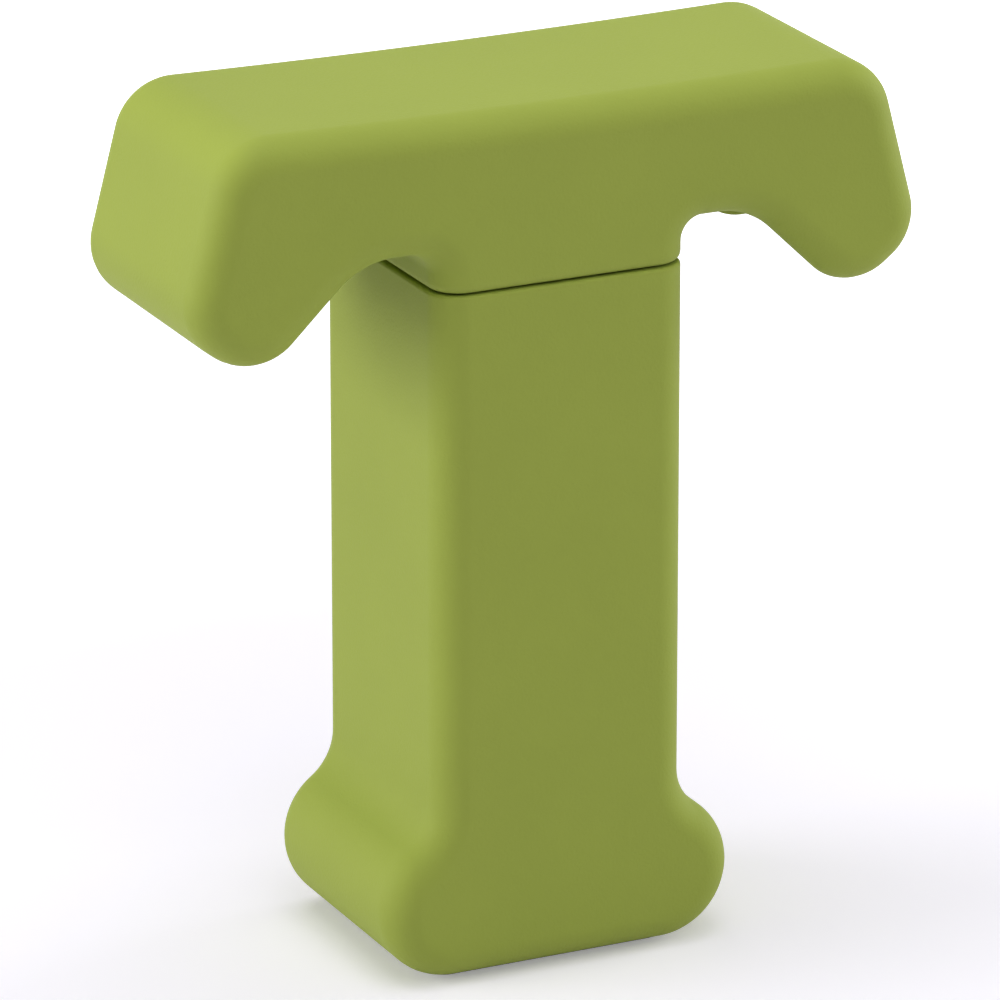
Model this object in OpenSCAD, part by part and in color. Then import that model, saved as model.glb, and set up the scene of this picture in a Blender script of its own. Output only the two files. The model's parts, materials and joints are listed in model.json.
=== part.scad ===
// T-handled corkscrew that stands in its own footed column.
// Millimetres. +Z is up, the crossbar runs along X, and the front face looks towards -Y.
// The origin is the centre of the underside, on the surface that the foot stands on.

/* [Body] */
// Width of the column and of the neck above it
column_w = 36; // [35:0.5:36]
// Front-to-back depth of the column and the crossbar
body_d = 38; // [37:0.5:39]
// Radius between the flat front and back faces and the outline
edge_r = 4.4; // [3:0.2:5]
// Gap between the column and the neck
split_gap = 0.2; // [0.2:0.1:0.6]
// Height of the split above the skin's underside
split_h = 94.9; // [94.5:0.1:95.3]

/* [Foot] */
// Radius of the foot's round ends
foot_r = 10; // [9.5:0.1:10.5]
// Distance from the middle to the centre of a round end
foot_x = 15.3; // [14.8:0.1:15.8]
// Radius of the hollow curve between the foot and the column
foot_blend_r = 7.5; // [6:0.5:9]
// Height of the skin above the surface, held by the foot pad
pad_show = 0.6; // [0.4:0.1:1]

/* [Crossbar] */
// Height of the top corners above the skin's underside
bar_h = 118.9; // [118.5:0.1:119.5]
// Distance from the middle to a top corner, before rounding
bar_x = 46.6; // [46:0.1:47]
// Radius of the top corners
bar_r = 8.3; // [7:0.1:9]
// How far the lines of the top fall towards the middle
bar_dish = 0.92; // [0.6:0.02:1.1]
// Distance from the middle to the outer corner of a drooping tip
tip_out_x = 53.1; // [52.6:0.1:53.6]
// Height of that corner
tip_out_h = 94.1; // [93.6:0.1:94.6]
// Radius of that corner
tip_out_r = 7.9; // [7:0.1:7.9]
// Distance from the middle to the inner corner of a tip
tip_in_x = 42.4; // [42.2:0.1:42.8]
// Height of that corner
tip_in_h = 86; // [85.6:0.1:86.4]
// Radius of that corner
tip_in_r = 8.1; // [7.4:0.1:8.1]
// Distance from the middle to the end of the arch's flat top
arch_x = 27.7; // [27.4:0.1:28.2]
// Height of the arch's flat top
arch_h = 100.2; // [99.8:0.1:100.6]
// Radius at the end of the arch's flat top
arch_r = 11; // [9:0.5:12]
// Radius between the neck and the arch
neck_r = 2.8; // [2:0.1:3.5]

/* [Worm] */
// Diameter of the worm's wire
wire_d = 3.6; // [3.2:0.1:3.6]
// Outer diameter of the worm
worm_d = 10; // [9:0.5:10.5]
// Rise of one turn of the worm
worm_pitch = 9; // [8:0.5:10]
// Height of the worm's tip
worm_tip_z = 24; // [22:0.5:30]

/* [Spigot] */
// Diameter of the spigot that seats in the column
spigot_d = 22; // [21:0.5:22]
// Length of the spigot below the neck
spigot_l = 10; // [9:0.5:12]
// Radial clearance of the spigot in its socket
spigot_clear = 0.35; // [0.3:0.05:0.5]

/* [Hidden] */
$fn = 48;

lime = [0.61, 0.66, 0.27];
black = [0.13, 0.13, 0.14];
grey = [0.42, 0.43, 0.44];
steel = [0.78, 0.79, 0.8];
brass = [0.8, 0.66, 0.35];

half_d = body_d / 2;
half_w = column_w / 2;
// How far a cut runs past the face that it opens.
over = 1;
// Clearance on each side of a piece that is glued or screwed in place.
fit = 0.1;
// Heights in the part's frame, where the skin starts above the foot pad.
column_top = pad_show + split_h - split_gap / 2;
neck_bottom = pad_show + split_h + split_gap / 2;
bar_top = pad_show + bar_h;
// Square bore down the column and up the neck, and the blocks that fill it.
bore_w = 28;
bore_r = 3;
block_w = bore_w - 2 * fit;
block_r = bore_r - fit;
// Chamber in the neck: plate, then carrier, then the roof with its inserts.
plate_t = 3;
carrier_bottom = neck_bottom + plate_t;
chamber_top = neck_bottom + 15;
insert_l = 6;
insert_r = 2.5;
neck_screw_top = chamber_top + insert_l - 0.5;
// Corner screws of the neck and of the base.
screw_at = 10.2;
screw_r = 1.5;
head_r = 2.6;
head_t = 1.8;
drive_r = 1.2;
drive_t = 1.1;
// Hollow wings: the end wall follows the bar's end down to a knee and is upright below it.
wing_wall = 3.7;
wing_in_x = 22;
wing_out_x = 46.5;
wing_roof = bar_top - 4.2;
wing_foot = neck_bottom - 16;
wing_corner_r = 3;
knee_z = pad_show + tip_out_h + 4;
knee_drop = 6;
knee_r = 4;
rib_t = 1.8;
rib_at = [30.5, 38.5];
rib_bottom = wing_roof - 8.6;
// Part of each half of the top that the shallow curve in its middle takes up.
dish_part = 0.8;
// Base of the column: pad and plate in a recess, ballast above them.
base_x = 35;
base_y = 29;
base_r = 3;
base_gap = 0.3;
pad_t = 1.6;
plate_top = pad_t + 2;
ballast_top = plate_top + 10.4;
core_bottom = ballast_top + 2 * fit;
base_grip = 8;
// Hollow across the foot, beside the ballast, so that the foot's ends aren't too thick.
foot_core_y = 18;
foot_core_top = 15;
// Well for the worm, inside the core.
well_r = 7;
well_wall = 2.2;
well_bottom = 20;
socket_r = spigot_d / 2 + spigot_clear;
socket_bottom = column_top - spigot_l - 0.4;
pocket_top = socket_bottom - 5;
web_t = 2;
boss_r = screw_r + 1.6;
// Keys on the spigot, and the rubber ring round it.
key_w = 3;
key_r = spigot_d / 2 + 1.2;
ring_r = 0.9;
ring_z = neck_bottom - spigot_l / 2;
ring_at = spigot_d / 2 + 0.25 - ring_r;
groove_r = spigot_d / 2 + 3;
// Hub, its cross pin, and the worm's shank.
hub_r = 5;
flange_r = 7;
flange_t = 2;
hub_top = chamber_top - 0.6;
pin_r = 1.25;
pin_l = block_w - 2;
pin_z = hub_top - flange_t - 2.6;
shank_top = pin_z - pin_r - 1.2;
shank_lap = 0.6;
shank_bottom = neck_bottom - spigot_l - shank_lap;
shank_clear = 0.2;
// Wire of the worm: its facets, the turns that its taper takes, and how thin its tip is.
wire_sides = 8;
rings_per_turn = 16;
swell_turns = 0.5;
taper_turns = 0.7;
tip_part = 0.12;
body_part = 0.99;

// ---- outline helpers -------------------------------------------------------

function unit(v) = v / norm(v);
function spin(v, a) = [v[0] * cos(a) - v[1] * sin(a), v[0] * sin(a) + v[1] * cos(a)];
function way(a, b) = a[0] * b[1] - a[1] * b[0] > 0 ? 1 : -1;

// Points of an arc about c, from one angle to another.
function arc(c, r, from, to, n) =
    [for (i = [0:n]) c + spin([r, 0], from + (to - from) * i / n)];

// Points that round the corner p between its neighbours a and b.
function corner(a, p, b, r, n) =
    let (u = unit(a - p), v = unit(b - p), half = acos(u * v) / 2)
    let (c = p + unit(u + v) * r / sin(half))
    let (start = p + u * r / tan(half) - c, end = p + v * r / tan(half) - c)
    [for (i = [0:n]) c + spin(start, way(start, end) * (180 - 2 * half) * i / n)];

// The same outline on the other side of the middle, in reverse order.
function mirrored(pts) = [for (i = [len(pts) - 1:-1:0]) [-pts[i][0], pts[i][1]]];

// Closed polygon with every corner [x, z, r] rounded.
function rounded(pts, n) = let (count = len(pts), at = [for (p = pts) [p[0], p[1]]])
    [for (i = [0:count - 1])
        each corner(at[(i + count - 1) % count], at[i], at[(i + 1) % count], pts[i][2], n)];

function edge_normal(a, b) = let (e = unit(b - a)) [-e[1], e[0]];

// An open outline moved to its left by d, with its straight stretches kept parallel.
function inset(pts, d) = let (last = len(pts) - 1)
    [for (i = [0:last])
        let (m = edge_normal(pts[max(i - 1, 0)], pts[max(i, 1)]))
        let (n = edge_normal(pts[min(i, last - 1)], pts[min(i + 1, last)]))
        pts[i] + d * (m + n) / (1 + m * n)];

// ---- outlines --------------------------------------------------------------

// Right half of the column, from the foot up to the split.
blend_x = half_w + foot_blend_r;
blend_z = pad_show + foot_r + sqrt(pow(foot_r + foot_blend_r, 2) - pow(blend_x - foot_x, 2));
blend_a = atan2(blend_z - pad_show - foot_r, blend_x - foot_x);
column_half = concat(
    arc([foot_x, pad_show + foot_r], foot_r, -90, blend_a, 14),
    [for (i = [1:6]) [blend_x, blend_z] + spin([foot_blend_r, 0], 180 + blend_a * (1 - i / 6))],
    [[half_w, column_top]]);

// Right half of the handle, from the split round the wing to the middle of the top.
neck_foot = [half_w, neck_bottom];
neck_top = [half_w, pad_show + arch_h];
arch_end = [arch_x, pad_show + arch_h];
tip_in = [tip_in_x, pad_show + tip_in_h];
tip_out = [tip_out_x, pad_show + tip_out_h];
top_corner = [bar_x, bar_top];
top_middle = [0, bar_top - bar_dish];
dish_r = dish_part * bar_x * bar_x / bar_dish;
handle_half = concat(
    [neck_foot],
    corner(neck_foot, neck_top, arch_end, neck_r, 4),
    corner(neck_top, arch_end, tip_in, arch_r, 5),
    corner(arch_end, tip_in, tip_out, tip_in_r, 8),
    corner(tip_in, tip_out, top_corner, tip_out_r, 7),
    corner(tip_out, top_corner, top_middle, bar_r, 7));
dish = corner(top_corner, top_middle, [-bar_x, bar_top], dish_r, 10);

// ---- shared shapes ---------------------------------------------------------

// Slab through an outline, with flat front and back faces and edges rounded by edge_r.
module rounded_slab(pts) {
    steps = 5;
    rim = [for (i = [0:steps]) edge_r * [1 - sin(90 * i / steps), 1 - cos(90 * i / steps)]];
    front = [for (r = rim) [for (p = inset(pts, r[0])) [p[0], r[1] - half_d, p[1]]]];
    back = [for (i = [steps:-1:0]) [for (p = front[i]) [p[0], -p[1], p[2]]]];
    rows = concat(front, back);
    n = len(pts);
    last = (len(rows) - 1) * n;
    sides = [for (k = [0:len(rows) - 2]) for (i = [0:n - 1])
        let (a = k * n + i, b = k * n + (i + 1) % n)
        each [[a, b, b + n], [a, b + n, a + n]]];
    caps = [[for (i = [n - 1:-1:0]) i], [for (i = [0:n - 1]) last + i]];
    polyhedron([for (row = rows) each row], concat(caps, sides));
}

// Upright block. Its corners are round, or sharp where r is 0.
module block(w, d, r, low, high) {
    translate([0, 0, low]) linear_extrude(high - low) {
        square([w - 2 * r, d], center = true);
        square([w, d - 2 * r], center = true);
        if (r > 0)
            for (x = [-1, 1]) for (y = [-1, 1]) translate([x * (w / 2 - r), y * (d / 2 - r)]) circle(r);
    }
}

module post(r, low, high) {
    translate([0, 0, low]) cylinder(r = r, h = high - low);
}

module at_corners() {
    for (x = [-1, 1]) for (y = [-1, 1]) translate([x * screw_at, y * screw_at, 0]) children();
}

// Outline in X and Z, spread evenly to both sides of the middle plane.
module spread(width, pts) {
    rotate([90, 0, 0]) linear_extrude(width, center = true) polygon(pts);
}

// Pan-head screw with its head downwards and a socket in the head.
module screw(low, high) {
    difference() {
        union() {
            post(head_r, low, low + head_t);
            post(screw_r, low, high);
        }
        translate([0, 0, low - over]) cylinder(r = drive_r, h = drive_t + over, $fn = 6);
    }
}

// ---- the column ------------------------------------------------------------

module column_skin() {
    color(lime) difference() {
        rounded_slab(concat(mirrored(column_half), column_half));
        block(bore_w, bore_w, bore_r, plate_top - over, column_top + over);
        block(base_x, base_y, base_r, -over, plate_top);
        block(base_x, foot_core_y, base_r, plate_top - over, foot_core_top);
    }
}

module column_core() {
    color(black) difference() {
        block(block_w, block_w, block_r, core_bottom, column_top);
        post(well_r, well_bottom, column_top + over);
        post(socket_r, socket_bottom, column_top + over);
        keys(spigot_clear, socket_bottom, column_top + over);
        at_corners() post(screw_r, core_bottom - over, core_bottom + base_grip + over);
        core_pockets();
    }
}

// Bar across the spigot whose two ends are its keys, or the slot that they slide in.
module keys(clear, low, high) {
    block(key_w + 2 * clear, 2 * (key_r + clear), 0, low, high);
}

// Coring between the well's tube, the corner bosses and the outer walls.
module core_pockets() {
    pocket_w = block_w - 2 * well_wall;
    low = core_bottom - over;
    translate([0, 0, low]) linear_extrude(pocket_top - low) difference() {
        square(pocket_w, center = true);
        circle(well_r + well_wall);
        square([bore_w, web_t], center = true);
        square([web_t, bore_w], center = true);
        at_corners() circle(boss_r);
    }
}

module ballast_block() {
    color(grey) difference() {
        block(block_w, block_w, block_r, plate_top, ballast_top);
        at_corners() post(screw_r + fit, plate_top - over, ballast_top + over);
    }
}

module base_plate() {
    color(black) difference() {
        block(base_x - base_gap, base_y - base_gap, base_r, pad_t, plate_top);
        at_corners() post(screw_r + fit, pad_t - over, plate_top + over);
        at_corners() post(head_r + fit, pad_t - over, pad_t + head_t);
    }
}

module base_screws() {
    color(steel) at_corners() screw(pad_t, core_bottom + base_grip);
}

module foot_pad() {
    color(black) block(base_x - base_gap, base_y - base_gap, base_r, 0, pad_t);
}

// ---- the handle ------------------------------------------------------------

// Hollow of one wing, open below, with its end wall kept wing_wall thick.
function wing_hollow() = let (slope = (tip_out - top_corner)[0] / (tip_out - top_corner)[1])
    let (roof_x = bar_x - wing_wall - (bar_top - wing_roof) * slope - 2 * fit)
    rounded([
        [wing_in_x, wing_foot, 1],
        [wing_out_x, wing_foot, 1],
        [wing_out_x, knee_z - knee_drop, knee_r],
        [roof_x + (knee_z - wing_roof) * slope, knee_z, knee_r],
        [roof_x, wing_roof, wing_corner_r],
        [wing_in_x, wing_roof, wing_corner_r]], 4);

// Hollow of the wing on one side: -1 is the left wing and 1 is the right one.
module wing_cavity(side) {
    difference() {
        spread(body_d - 2 * wing_wall, side > 0 ? wing_hollow() : mirrored(wing_hollow()));
        for (x = rib_at) translate([side * x, 0, 0]) block(rib_t, body_d, 0, rib_bottom, bar_top);
        translate([side * bar_x / 2, 0, 0]) block(bar_x, rib_t, 0, rib_bottom, bar_top);
    }
}

module hollow_bar() {
    difference() {
        rounded_slab(concat(handle_half, dish, mirrored(handle_half)));
        for (side = [-1, 1]) wing_cavity(side);
    }
}

module handle_shell() {
    color(lime) difference() {
        hollow_bar();
        block(bore_w, bore_w, bore_r, neck_bottom - over, chamber_top);
        at_corners() post(insert_r, chamber_top - over, chamber_top + insert_l);
    }
}

module worm_carrier() {
    color(black) difference() {
        block(block_w, block_w, block_r, carrier_bottom, chamber_top);
        post(hub_r, carrier_bottom - over, chamber_top + over);
        post(flange_r, hub_top - flange_t, chamber_top + over);
        at_corners() post(screw_r + fit, carrier_bottom - over, chamber_top + over);
        cross_rod(bore_w);
    }
}

// Rod along X through the hub, which is its pin or the hole for it.
module cross_rod(length) {
    translate([-length / 2, 0, pin_z]) rotate([0, 90, 0]) cylinder(r = pin_r, h = length);
}

module worm_hub() {
    color(steel) difference() {
        union() {
            post(hub_r, carrier_bottom, hub_top);
            post(flange_r, hub_top - flange_t, hub_top);
        }
        post(wire_d / 2, carrier_bottom - over, shank_top);
        cross_rod(2 * flange_r);
    }
}

module hub_pin() {
    color(steel) cross_rod(pin_l);
}

// Centre line of the worm: its radius swells below the shank.
worm_turns = (shank_bottom - worm_tip_z) / worm_pitch;
ring_count = round(rings_per_turn * worm_turns);
function ease(t) = let (s = min(max(t, 0), 1)) s * s * (3 - 2 * s);
function worm_centre(turn) = let (r = (worm_d - wire_d) / 2 * ease(turn / swell_turns))
    [r * cos(-360 * turn), r * sin(-360 * turn), shank_bottom + shank_lap - worm_pitch * turn];
function wire_r(turn) =
    wire_d / 2 * (tip_part + (body_part - tip_part) * ease((worm_turns - turn) / taper_turns));

// One ring of the wire's facets, square to the centre line.
function worm_ring(turn) = let (h = 0.002)
    let (t = unit(worm_centre(turn + h) - worm_centre(turn - h)), c = worm_centre(turn))
    let (out = [cos(-360 * turn), sin(-360 * turn), 0], n = unit(out - t * (out * t)))
    [for (k = [0:wire_sides - 1]) let (a = 360 * k / wire_sides)
        c + wire_r(turn) * (n * cos(a) + cross(t, n) * sin(a))];

module worm() {
    rings = [for (i = [0:ring_count]) worm_ring(worm_turns * i / ring_count)];
    n = wire_sides;
    last = ring_count * n;
    sides = [for (i = [0:ring_count - 1]) for (k = [0:n - 1])
        let (a = i * n + k, b = i * n + (k + 1) % n)
        each [[a, b + n, b], [a, a + n, b + n]]];
    caps = [[for (k = [0:n - 1]) k], [for (k = [n - 1:-1:0]) last + k]];
    color(steel) {
        polyhedron([for (ring = rings) each ring], concat(caps, sides));
        post(wire_d / 2, shank_bottom, shank_top);
    }
}

module neck_plate() {
    color(black) difference() {
        union() {
            block(block_w, block_w, block_r, neck_bottom, carrier_bottom);
            post(spigot_d / 2, neck_bottom - spigot_l, carrier_bottom);
            keys(0, neck_bottom - spigot_l, carrier_bottom);
        }
        post(wire_d / 2 + shank_clear, neck_bottom - spigot_l - over, carrier_bottom + over);
        ring_groove();
        at_corners() post(screw_r + fit, neck_bottom - over, carrier_bottom + over);
        at_corners() post(head_r + fit, neck_bottom - over, neck_bottom + head_t);
    }
}

module ring_groove() {
    difference() {
        post(groove_r, ring_z - ring_r, ring_z + ring_r);
        post(ring_at - ring_r, ring_z - ring_r - over, ring_z + ring_r + over);
    }
}

module spigot_ring() {
    color(black) translate([0, 0, ring_z]) rotate_extrude() translate([ring_at, 0]) circle(ring_r, $fn = 24);
}

module neck_inserts() {
    color(brass) at_corners() difference() {
        post(insert_r, chamber_top, chamber_top + insert_l);
        post(screw_r, chamber_top - over, chamber_top + insert_l + over);
    }
}

module neck_screws() {
    color(steel) at_corners() screw(neck_bottom, neck_screw_top);
}

column_skin();
column_core();
ballast_block();
base_plate();
base_screws();
foot_pad();
handle_shell();
worm_carrier();
worm_hub();
hub_pin();
worm();
neck_plate();
neck_inserts();
neck_screws();
spigot_ring();
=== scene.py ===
import json
import math

import bpy
import bmesh
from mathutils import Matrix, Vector


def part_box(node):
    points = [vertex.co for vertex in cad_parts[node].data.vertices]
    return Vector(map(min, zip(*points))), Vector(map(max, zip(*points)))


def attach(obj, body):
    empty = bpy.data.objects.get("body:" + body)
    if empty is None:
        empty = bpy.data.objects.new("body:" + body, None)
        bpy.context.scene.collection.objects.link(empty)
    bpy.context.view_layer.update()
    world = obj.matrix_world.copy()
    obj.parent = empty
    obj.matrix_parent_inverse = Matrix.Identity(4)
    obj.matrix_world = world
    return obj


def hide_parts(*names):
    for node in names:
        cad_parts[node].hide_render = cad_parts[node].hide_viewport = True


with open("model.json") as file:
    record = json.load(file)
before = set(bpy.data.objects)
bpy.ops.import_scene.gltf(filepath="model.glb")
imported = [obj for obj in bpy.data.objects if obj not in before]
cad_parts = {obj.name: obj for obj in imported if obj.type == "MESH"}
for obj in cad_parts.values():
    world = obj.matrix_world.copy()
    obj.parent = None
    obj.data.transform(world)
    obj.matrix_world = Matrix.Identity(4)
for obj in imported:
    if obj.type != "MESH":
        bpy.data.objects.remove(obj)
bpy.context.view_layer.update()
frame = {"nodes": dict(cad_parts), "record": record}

MM = 0.001

# Driving sizes in millimetres, the same as the part's own.
HALF_W = 18.0
HALF_D = 19.0
EDGE_R = 4.4
FOOT_R = 10.0
FOOT_X = 15.3
FOOT_BLEND_R = 7.5
ARCH = (27.7, 100.2, 11.0)
TIP_IN = (42.4, 86.0, 8.1)
TIP_OUT = (53.1, 94.1, 7.9)
BAR = (46.6, 118.9, 8.3)
BAR_DISH = 0.92
NECK_R = 2.8
WING_IN_X = 22.0
WING_OUT_X = 46.5
WING_WALL = 3.7
ROOF_T = 4.2
BORE_W = 28.0
BORE_R = 3.0
BASE_W = 35.0
BASE_D = 29.0
WIRE_D = 3.6
WORM_D = 10.0
WORM_PITCH = 9.0
NECK_RIM_R = 1.2
COLUMN_RIM_R = 0.45
SMALL_RIM_R = 0.3
SMOOTH_ANGLE = math.radians(40)

# Heights that the frame gives.
skin_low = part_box("column_skin")[0].z / MM
column_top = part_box("column_skin")[1].z / MM
neck_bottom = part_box("neck_plate")[1].z / MM - 3.0
chamber_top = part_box("worm_carrier")[1].z / MM
bar_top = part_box("handle_shell")[1].z / MM
base_recess_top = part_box("base_plate")[1].z / MM


# ---- outlines, in X and Z --------------------------------------------------

def vec(*numbers):
    return Vector(numbers)


def arc(centre, radius, start, end, steps):
    turn = [start + (end - start) * i / steps for i in range(steps + 1)]
    return [centre + radius * vec(math.cos(a), math.sin(a)) for a in turn]


def corner(a, p, b, radius, steps):
    """Points that round the corner p between its neighbours a and b."""
    u = (a - p).normalized()
    v = (b - p).normalized()
    half = u.angle(v) / 2
    centre = p + (u + v).normalized() * radius / math.sin(half)
    start = p + u * radius / math.tan(half) - centre
    end = p + v * radius / math.tan(half) - centre
    way = 1 if start.x * end.y - start.y * end.x > 0 else -1
    first = math.atan2(start.y, start.x)
    return arc(centre, radius, first, first + way * (math.pi - 2 * half), steps)


def mirrored(points):
    return [vec(-p.x, p.y) for p in reversed(points)]


def inset(points, distance):
    """An open outline moved to its left, with its straight stretches kept parallel."""
    def normal(a, b):
        e = (b - a).normalized()
        return vec(-e.y, e.x)

    last = len(points) - 1
    out = []
    for i, p in enumerate(points):
        m = normal(points[max(i - 1, 0)], points[max(i, 1)])
        n = normal(points[min(i, last - 1)], points[min(i + 1, last)])
        out.append(p + distance * (m + n) / (1 + m.dot(n)))
    return out


def column_outline():
    foot = vec(FOOT_X, skin_low + FOOT_R)
    blend_x = HALF_W + FOOT_BLEND_R
    rise = math.sqrt((FOOT_R + FOOT_BLEND_R) ** 2 - (blend_x - FOOT_X) ** 2)
    blend = vec(blend_x, foot.y + rise)
    lean = math.atan2(rise, blend_x - FOOT_X)
    half = arc(foot, FOOT_R, -math.pi / 2, lean, 48)
    half += arc(blend, FOOT_BLEND_R, math.pi + lean, math.pi, 20)[1:]
    half += [vec(HALF_W, column_top)]
    return mirrored(half) + half


def raised(point):
    return vec(point[0], skin_low + point[1])


def handle_half():
    neck_foot = vec(HALF_W, neck_bottom)
    neck_top = vec(HALF_W, skin_low + ARCH[1])
    wing_in = vec(WING_IN_X, neck_top.y)
    top_middle = vec(0, raised(BAR).y - BAR_DISH)
    path = [neck_top, raised(ARCH), raised(TIP_IN), raised(TIP_OUT), raised(BAR), top_middle]
    half = [neck_foot] + corner(neck_foot, neck_top, path[1], NECK_R, 12) + [wing_in]
    for i, (radius, steps) in enumerate([(ARCH[2], 16), (TIP_IN[2], 28), (TIP_OUT[2], 24), (BAR[2], 24)]):
        half += corner(path[i], path[i + 1], path[i + 2], radius, steps)
    return half


def dish():
    """The slight hollow along the middle of the top."""
    right = raised(BAR)
    radius = 0.8 * BAR[0] ** 2 / BAR_DISH
    middle = vec(0, right.y - BAR_DISH)
    return corner(right, middle, vec(-right.x, right.y), radius, 24)


def first_past(points, x):
    """Index of the first point at or past x, after the tip's lowest point."""
    low = min(range(len(points)), key=lambda i: points[i].y)
    return next(i for i in range(low, len(points)) if points[i].x >= x)


# ---- mesh helpers ----------------------------------------------------------

def fillet_rows(steps=10):
    """(inset, y) of each row of a slab, from the front face to the back one."""
    quarter = [math.pi / 2 * i / steps for i in range(steps + 1)]
    front = [(EDGE_R * (1 - math.sin(a)), -HALF_D + EDGE_R * (1 - math.cos(a))) for a in quarter]
    return front + [(d, -y) for d, y in reversed(front)]


def new_mesh(name, verts, faces):
    mesh = bpy.data.meshes.new(name)
    mesh.from_pydata([tuple(MM * c for c in v) for v in verts], [], faces)
    obj = bpy.data.objects.new(name, mesh)
    bpy.context.scene.collection.objects.link(obj)
    bm = bmesh.new()
    bm.from_mesh(mesh)
    bmesh.ops.remove_doubles(bm, verts=bm.verts, dist=1e-7)
    bmesh.ops.recalc_face_normals(bm, faces=bm.faces)
    bm.to_mesh(mesh)
    bm.free()
    return obj


def apply_modifiers(obj):
    bpy.context.view_layer.update()
    mesh = bpy.data.meshes.new_from_object(obj.evaluated_get(bpy.context.evaluated_depsgraph_get()))
    obj.modifiers.clear()
    obj.data = mesh


def bevel(obj, width, segments=3):
    mod = obj.modifiers.new("rims", "BEVEL")
    mod.width = width * MM
    mod.segments = segments
    mod.limit_method = "ANGLE"
    mod.angle_limit = SMOOTH_ANGLE
    mod.miter_outer = "MITER_ARC"
    apply_modifiers(obj)


def round_mouth(obj, z, radius):
    """Rounds the outer edge of the flat end at height z."""
    bm = bmesh.new()
    bm.from_mesh(obj.data)
    edges = []
    for edge in bm.edges:
        level = all(abs(v.co.z - z * MM) < 1e-6 for v in edge.verts)
        outside = all(max(abs(v.co.x), abs(v.co.y)) > (BORE_W / 2 + 1) * MM for v in edge.verts)
        upright = [abs(face.normal.z) < 0.5 for face in edge.link_faces]
        if level and outside and any(upright) and not all(upright):
            edges.append(edge)
    bmesh.ops.bevel(bm, geom=edges, offset=radius * MM, segments=5, profile=0.5, affect="EDGES",
                    clamp_overlap=False)
    bm.to_mesh(obj.data)
    bm.free()


def boolean(obj, tool, operation):
    mod = obj.modifiers.new("cut", "BOOLEAN")
    mod.operation = operation
    mod.solver = "EXACT"
    mod.object = tool
    apply_modifiers(obj)
    bpy.data.objects.remove(tool)


def smooth(obj, angle=SMOOTH_ANGLE):
    """Smooth shading in which the flat faces stay flat."""
    mesh = obj.data
    mesh.shade_smooth()
    mesh.set_sharp_from_angle(angle=angle)
    mod = obj.modifiers.new("normals", "WEIGHTED_NORMAL")
    mod.keep_sharp = True
    mod.weight = 100
    apply_modifiers(obj)


def rounded_square(width, depth, radius, steps):
    """Closed loop of a round-cornered rectangle, counter-clockwise from the +X side's front end."""
    loop = []
    for sx, sy, start in ((1, -1, -90), (1, 1, 0), (-1, 1, 90), (-1, -1, 180)):
        centre = vec(sx * (width / 2 - radius), sy * (depth / 2 - radius))
        loop += arc(centre, radius, math.radians(start), math.radians(start + 90), steps)
    return loop


def block(name, width, depth, radius, low, high, steps=10):
    loop = rounded_square(width, depth, radius, steps)
    n = len(loop)
    verts = [(p.x, p.y, z) for z in (low, high) for p in loop]
    faces = [[i, (i + 1) % n, n + (i + 1) % n, n + i] for i in range(n)]
    faces += [list(range(n)), list(range(n, 2 * n))]
    return new_mesh(name, verts, faces)


def slab(name, points, mouth_z, well_z, openings=()):
    """Slab through an open outline, with a square bore from its flat end at mouth_z to well_z.

    Each opening is (first point, last point, inner path): there the strip between the two rows next to the
    flat middle is left out, and the hollow's walls follow the inner path."""
    rows = fillet_rows()
    n = len(points)
    count = len(rows)
    steps = count // 2 - 1
    verts = []
    for d, y in rows:
        verts += [(p.x, y, p.y) for p in inset(points, d)]

    def at(row, i):
        return row * n + i

    first, last = steps - 1, steps + 2
    open_cells = set()
    for a, b, _ in openings:
        open_cells |= {(row, i) for row in range(first, last) for i in range(a, b)}
    faces = [list(range(n)), [at(count - 1, i) for i in range(n)]]
    for row in range(count - 1):
        for i in range(n - 1):
            if (row, i) not in open_cells:
                faces.append([at(row, i), at(row, i + 1), at(row + 1, i + 1), at(row + 1, i)])

    for a, b, path in openings:
        columns = []
        for row in range(first, last + 1):
            start = len(verts)
            verts += [(p.x, rows[row][1], p.y) for p in path]
            inner = list(range(start, start + len(path)))
            columns.append([at(row, a)] + inner + [at(row, b)])
        for left, right in zip(columns, columns[1:]):
            for i in range(len(left) - 1):
                faces.append([left[i], left[i + 1], right[i + 1], right[i]])
        for row, column in ((first, columns[0]), (last, columns[-1])):
            faces.append([at(row, i) for i in range(a, b + 1)] + column[-2:0:-1])

    right_end = 0 if points[0].x > 0 else n - 1
    left_end = n - 1 - right_end
    outer = [at(row, right_end) for row in range(count)] + [at(row, left_end) for row in reversed(range(count))]
    bore = rounded_square(BORE_W, BORE_W, BORE_R, steps)
    m = len(bore)
    start = len(verts)
    verts += [(p.x, p.y, z) for z in (mouth_z, well_z) for p in bore]
    for i in range(m):
        j = (i + 1) % m
        faces.append([outer[i], outer[j], start + j, start + i])
        faces.append([start + i, start + j, start + m + j, start + m + i])
    faces.append([start + m + i for i in range(m)])
    return new_mesh(name, verts, faces)


# ---- the two lime shells ---------------------------------------------------

def wing_path(points, a, b):
    """Inner wall of the right wing's hollow, from the neck side over the roof to the tip."""
    slope = (TIP_OUT[0] - BAR[0]) / (TIP_OUT[1] - BAR[1])
    roof = skin_low + BAR[1] - ROOF_T
    roof_x = BAR[0] - WING_WALL - ROOF_T * slope - 0.2
    knee = vec(roof_x + (skin_low + TIP_OUT[1] + 4 - roof) * slope, skin_low + TIP_OUT[1] + 4)
    stops = [points[a], vec(WING_IN_X, roof), vec(roof_x, roof), knee, vec(points[b].x, knee.y - 6), points[b]]
    path = []
    for i, radius in enumerate([3.0, 3.0, 4.0]):
        path += corner(stops[i], stops[i + 1], stops[i + 2], radius, 10)
    return path + [stops[4]]


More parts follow.
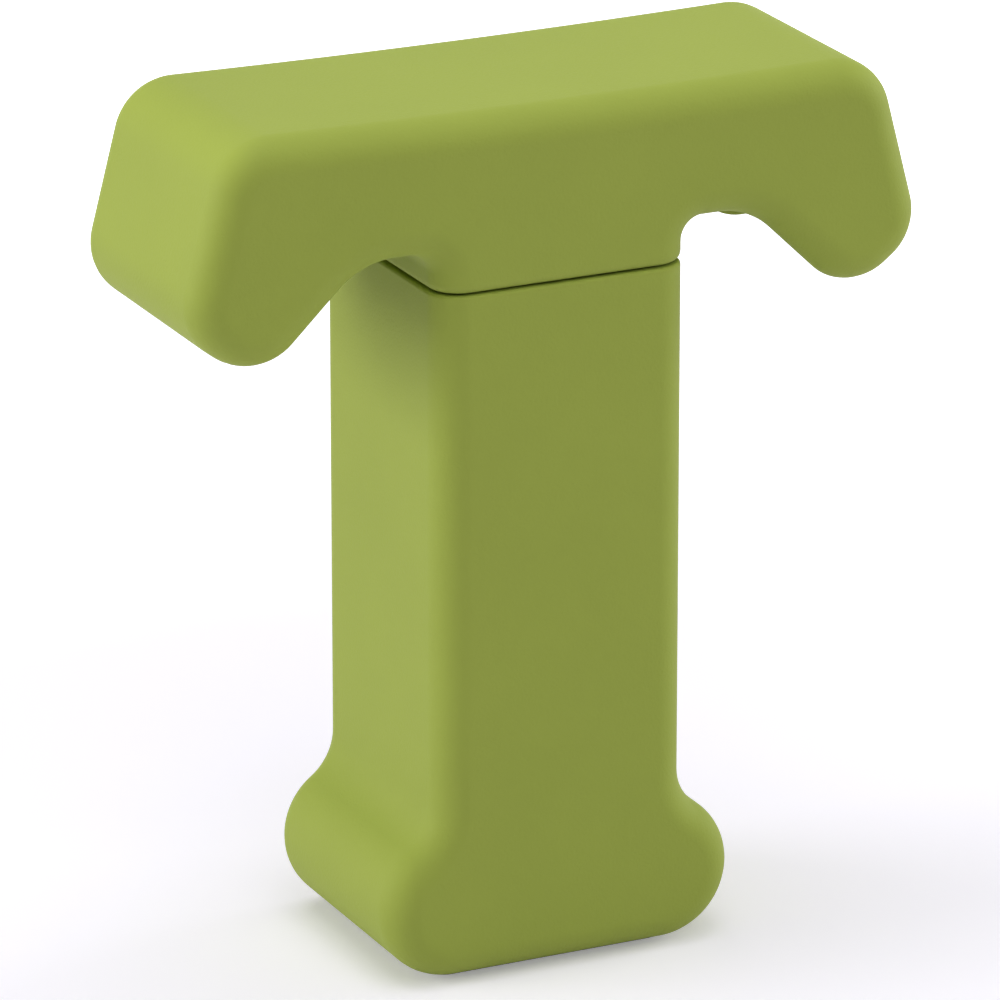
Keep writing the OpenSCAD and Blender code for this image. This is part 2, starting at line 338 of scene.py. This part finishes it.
def handle_shell():
    half = handle_half()
    b = first_past(half, WING_OUT_X)
    a = next(i for i, p in enumerate(half) if abs(p.x - WING_IN_X) < 1e-6)
    points = half + dish() + mirrored(half)
    path = wing_path(half, a, b)
    last = len(points) - 1
    openings = [(a, b, path), (last - b, last - a, mirrored(path))]
    obj = slab("handle_shell_moulding", points, neck_bottom, chamber_top, openings)
    round_mouth(obj, neck_bottom, NECK_RIM_R)
    bevel(obj, SMALL_RIM_R)
    add_ribs(obj)
    smooth(obj)
    return obj


def add_ribs(obj):
    roof = skin_low + BAR[1] - ROOF_T
    low = roof - 8.6
    for side in (-1, 1):
        for x in (30.5, 38.5):
            rib = block("rib", 1.8, 2 * (HALF_D - WING_WALL) + 0.6, 0.4, low, roof + 0.5, 3)
            rib.data.transform(_move(side * x * MM))
            boolean(obj, rib, "UNION")
        rib = block("rib", 24.0, 1.8, 0.4, low, roof + 0.5, 3)
        rib.data.transform(_move(side * 33.5 * MM))
        boolean(obj, rib, "UNION")


def _move(x):
    from mathutils import Matrix
    return Matrix.Translation((x, 0, 0))


def column_skin():
    obj = slab("column_moulding", column_outline(), column_top, base_recess_top)
    round_mouth(obj, column_top, COLUMN_RIM_R)
    bevel(obj, SMALL_RIM_R)
    boolean(obj, block("recess", BASE_W, BASE_D, BORE_R, -2.0, base_recess_top + 0.5), "DIFFERENCE")
    smooth(obj)
    return obj


# ---- the worm --------------------------------------------------------------

def ease(t):
    t = min(max(t, 0.0), 1.0)
    return t * t * (3 - 2 * t)


def worm():
    shank_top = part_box("worm")[1].z / MM
    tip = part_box("worm")[0].z / MM + 0.4
    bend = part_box("neck_plate")[0].z / MM
    turns = (bend - tip) / WORM_PITCH
    ring_n, per_turn = 20, 40

    def centre(turn):
        radius = (WORM_D - WIRE_D) / 2 * ease(turn * 2)
        angle = -2 * math.pi * turn
        return vec(radius * math.cos(angle), radius * math.sin(angle), bend - WORM_PITCH * turn)

    verts = []
    rings = [(vec(0, 0, shank_top), vec(0, 0, -1), 0.0, WIRE_D / 2)]
    for i in range(round(turns * per_turn) + 1):
        turn = turns * i / round(turns * per_turn)
        tangent = (centre(turn + 0.002) - centre(turn - 0.002)).normalized()
        radius = WIRE_D / 2 * (0.06 + 0.94 * ease((turns - turn) / 0.7))
        rings.append((centre(turn), tangent, turn, radius))
    for middle, tangent, turn, radius in rings:
        out = vec(math.cos(-2 * math.pi * turn), math.sin(-2 * math.pi * turn), 0)
        out = (out - tangent * out.dot(tangent)).normalized()
        side = tangent.cross(out)
        for k in range(ring_n):
            a = 2 * math.pi * k / ring_n
            verts.append(middle + radius * (out * math.cos(a) + side * math.sin(a)))
    faces = [list(range(ring_n)), [len(verts) - ring_n + k for k in range(ring_n)]]
    for i in range(len(rings) - 1):
        for k in range(ring_n):
            a, b = i * ring_n + k, i * ring_n + (k + 1) % ring_n
            faces.append([a, b, b + ring_n, a + ring_n])
    obj = new_mesh("worm_wire", verts, faces)
    smooth(obj)
    return obj


# ---- materials -------------------------------------------------------------

def srgb(r, g, b):
    """A linear colour from 0-255 display values."""
    def linear(c):
        c /= 255
        return c / 12.92 if c <= 0.04045 else ((c + 0.055) / 1.055) ** 2.4
    return (linear(r), linear(g), linear(b), 1.0)


def material(name, colour, roughness, metallic=0.0, grain=900.0, bump=0.02, shade=0.05, wear=0.06):
    """Principled material with mottled colour, roughness and a fine grain, all from object coordinates."""
    mat = bpy.data.materials.new(name)
    mat.use_nodes = True
    nodes, links = mat.node_tree.nodes, mat.node_tree.links
    shader = nodes["Principled BSDF"]
    shader.inputs["Metallic"].default_value = metallic
    coords = nodes.new("ShaderNodeTexCoord")
    fine = nodes.new("ShaderNodeTexNoise")
    fine.inputs["Scale"].default_value = grain
    fine.inputs["Detail"].default_value = 3.0
    broad = nodes.new("ShaderNodeTexNoise")
    broad.inputs["Scale"].default_value = 45.0
    broad.inputs["Detail"].default_value = 4.0
    for noise in (fine, broad):
        links.new(coords.outputs["Object"], noise.inputs["Vector"])
    tint = nodes.new("ShaderNodeValToRGB")
    tint.color_ramp.elements[0].position = 0.3
    tint.color_ramp.elements[1].position = 0.7
    tint.color_ramp.elements[0].color = tuple(c * (1 - shade) for c in colour[:3]) + (1,)
    tint.color_ramp.elements[1].color = tuple(min(c * (1 + shade), 1) for c in colour[:3]) + (1,)
    links.new(broad.outputs["Fac"], tint.inputs["Fac"])
    links.new(tint.outputs["Color"], shader.inputs["Base Color"])
    rough = nodes.new("ShaderNodeMapRange")
    rough.inputs["To Min"].default_value = roughness - wear
    rough.inputs["To Max"].default_value = roughness + wear
    links.new(fine.outputs["Fac"], rough.inputs["Value"])
    links.new(rough.outputs["Result"], shader.inputs["Roughness"])
    relief = nodes.new("ShaderNodeBump")
    relief.inputs["Strength"].default_value = bump
    relief.inputs["Distance"].default_value = 0.0002
    links.new(fine.outputs["Fac"], relief.inputs["Height"])
    links.new(relief.outputs["Normal"], shader.inputs["Normal"])
    return mat, shader


def lime_material():
    mat, shader = material("soft_touch_lime", srgb(165, 180, 77), 0.6, grain=2600, bump=0.25, shade=0.02)
    shader.inputs["Specular IOR Level"].default_value = 0.15
    shader.inputs["Sheen Weight"].default_value = 0.03
    shader.inputs["Sheen Roughness"].default_value = 0.5
    return mat


def dress(obj, mat):
    obj.data.materials.clear()
    obj.data.materials.append(mat)


# ---- build -----------------------------------------------------------------

lime = lime_material()
handle = handle_shell()
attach(handle, "handle")
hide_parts("handle_shell")
dress(handle, lime)

column = column_skin()
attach(column, "stand")
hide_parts("column_skin")
dress(column, lime)

screw = worm()
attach(screw, "handle")
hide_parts("worm")
dress(screw, material("polished_steel", (0.78, 0.78, 0.8, 1), 0.16, 1.0, grain=700, bump=0.02)[0])

finishes = {
    "black_moulding": material("black_nylon", srgb(44, 44, 46), 0.55, grain=1800, bump=0.3, shade=0.12)[0],
    "grey_iron": material("phosphated_iron", srgb(92, 92, 94), 0.5, 0.9, grain=900, bump=0.2)[0],
    "screw_steel": material("zinc_steel", (0.68, 0.68, 0.7, 1), 0.3, 1.0, grain=1200, bump=0.05)[0],
    "black_rubber": material("black_rubber", srgb(30, 30, 30), 0.8, grain=2000, bump=0.3, shade=0.15)[0],
    "brass": material("turned_brass", (0.72, 0.52, 0.2, 1), 0.28, 1.0, grain=1200, bump=0.05)[0],
}
slots = {row["node"]: row["material_slot"] for row in frame["record"]["subparts"]}
for name, node in frame["nodes"].items():
    if slots[name] in finishes:
        node.data.materials.clear()
        node.data.materials.append(finishes[slots[name]])


# ---- floor, light and camera -----------------------------------------------

def camera_white(mat, strength, others=("Is Glossy Ray", "Is Transmission Ray")):
    """Strength of a white glow that only the camera and the other named rays see."""
    nodes, links = mat.node_tree.nodes, mat.node_tree.links
    path = nodes.new("ShaderNodeLightPath")
    seen = path.outputs["Is Camera Ray"]
    for name in others:
        more = nodes.new("ShaderNodeMath")
        more.operation = "MAXIMUM"
        links.new(seen, more.inputs[0])
        links.new(path.outputs[name], more.inputs[1])
        seen = more.outputs[0]
    scale = nodes.new("ShaderNodeMath")
    scale.operation = "MULTIPLY"
    scale.inputs[1].default_value = strength
    links.new(seen, scale.inputs[0])
    return scale.outputs[0]


def make_floor():
    size, low = 4.0, -0.05 * MM
    mesh = bpy.data.meshes.new("floor")
    corners = [(-size, -size, low), (size, -size, low), (size, size, low), (-size, size, low)]
    mesh.from_pydata(corners, [], [(0, 1, 2, 3)])
    floor = bpy.data.objects.new("floor", mesh)
    bpy.context.scene.collection.objects.link(floor)
    mat = bpy.data.materials.new("white_floor")
    mat.use_nodes = True
    shader = mat.node_tree.nodes["Principled BSDF"]
    shader.inputs["Base Color"].default_value = (0.9, 0.87, 0.97, 1)
    shader.inputs["Roughness"].default_value = 1.0
    shader.inputs["Specular IOR Level"].default_value = 0.0
    shader.inputs["Emission Color"].default_value = (1, 1, 1, 1)
    nodes, links = mat.node_tree.nodes, mat.node_tree.links
    coords = nodes.new("ShaderNodeTexCoord")
    distance = nodes.new("ShaderNodeVectorMath")
    distance.operation = "LENGTH"
    links.new(coords.outputs["Object"], distance.inputs[0])
    glow = nodes.new("ShaderNodeMapRange")
    glow.inputs["From Min"].default_value = 0.12
    glow.inputs["From Max"].default_value = 0.4
    glow.inputs["To Min"].default_value = 0.28
    glow.inputs["To Max"].default_value = 1.0
    links.new(distance.outputs["Value"], glow.inputs["Value"])
    seen = camera_white(mat, 1.0, ("Is Transmission Ray",))
    strength = nodes.new("ShaderNodeMath")
    strength.operation = "MULTIPLY"
    links.new(seen, strength.inputs[0])
    links.new(glow.outputs["Result"], strength.inputs[1])
    links.new(strength.outputs[0], shader.inputs["Emission Strength"])
    mesh.materials.append(mat)


def make_world():
    world = bpy.data.worlds.new("studio")
    bpy.context.scene.world = world
    world.use_nodes = True
    nodes, links = world.node_tree.nodes, world.node_tree.links
    background = nodes["Background"]
    background.inputs["Color"].default_value = (1, 1, 1, 1)
    extra = camera_white(world, 1.0 - WORLD_LIGHT)
    total = nodes.new("ShaderNodeMath")
    total.operation = "ADD"
    total.inputs[1].default_value = WORLD_LIGHT
    links.new(extra, total.inputs[0])
    links.new(total.outputs[0], background.inputs["Strength"])


def area_light(name, place, aim, size, watts):
    data = bpy.data.lights.new(name, "AREA")
    data.shape = "SQUARE"
    data.size = size
    data.energy = watts
    lamp = bpy.data.objects.new(name, data)
    lamp.location = place
    lamp.rotation_euler = (Vector(aim) - Vector(place)).to_track_quat("-Z", "Y").to_euler()
    bpy.context.scene.collection.objects.link(lamp)


WORLD_LIGHT = 0.12
make_floor()
make_world()
middle = (0, 0, 0.06)
area_light("top_soft", (-0.1, 0.1, 1.3), middle, 1.0, 7.5)
area_light("front_top", (-0.1, -0.8, 1.1), middle, 1.0, 4.4)
area_light("left_soft", (-1.2, 0.45, 0.25), middle, 0.9, 10.9)
area_light("right_soft", (1.25, -0.1, 0.3), middle, 0.9, 8.0)

AZIMUTH = math.radians(25.577)
ELEVATION = math.radians(19.209)
DISTANCE = 1056.7 * MM
AIM = Vector((-0.532, 0, 59.28 + skin_low)) * MM
FOCAL_PIXELS = 7991.8
FRAME_PIXELS = 1000

camera_data = bpy.data.cameras.new("camera")
camera_data.sensor_width = 36
camera_data.lens = FOCAL_PIXELS / FRAME_PIXELS * camera_data.sensor_width
camera_data.clip_start = 0.01
camera = bpy.data.objects.new("camera", camera_data)
back = Vector((-math.sin(AZIMUTH) * math.cos(ELEVATION), -math.cos(AZIMUTH) * math.cos(ELEVATION), math.sin(ELEVATION)))
camera.location = AIM + back * DISTANCE
camera.rotation_euler = (-back).to_track_quat("-Z", "Y").to_euler()
bpy.context.scene.collection.objects.link(camera)
bpy.context.scene.camera = camera
bpy.context.scene.view_settings.view_transform = "Standard"
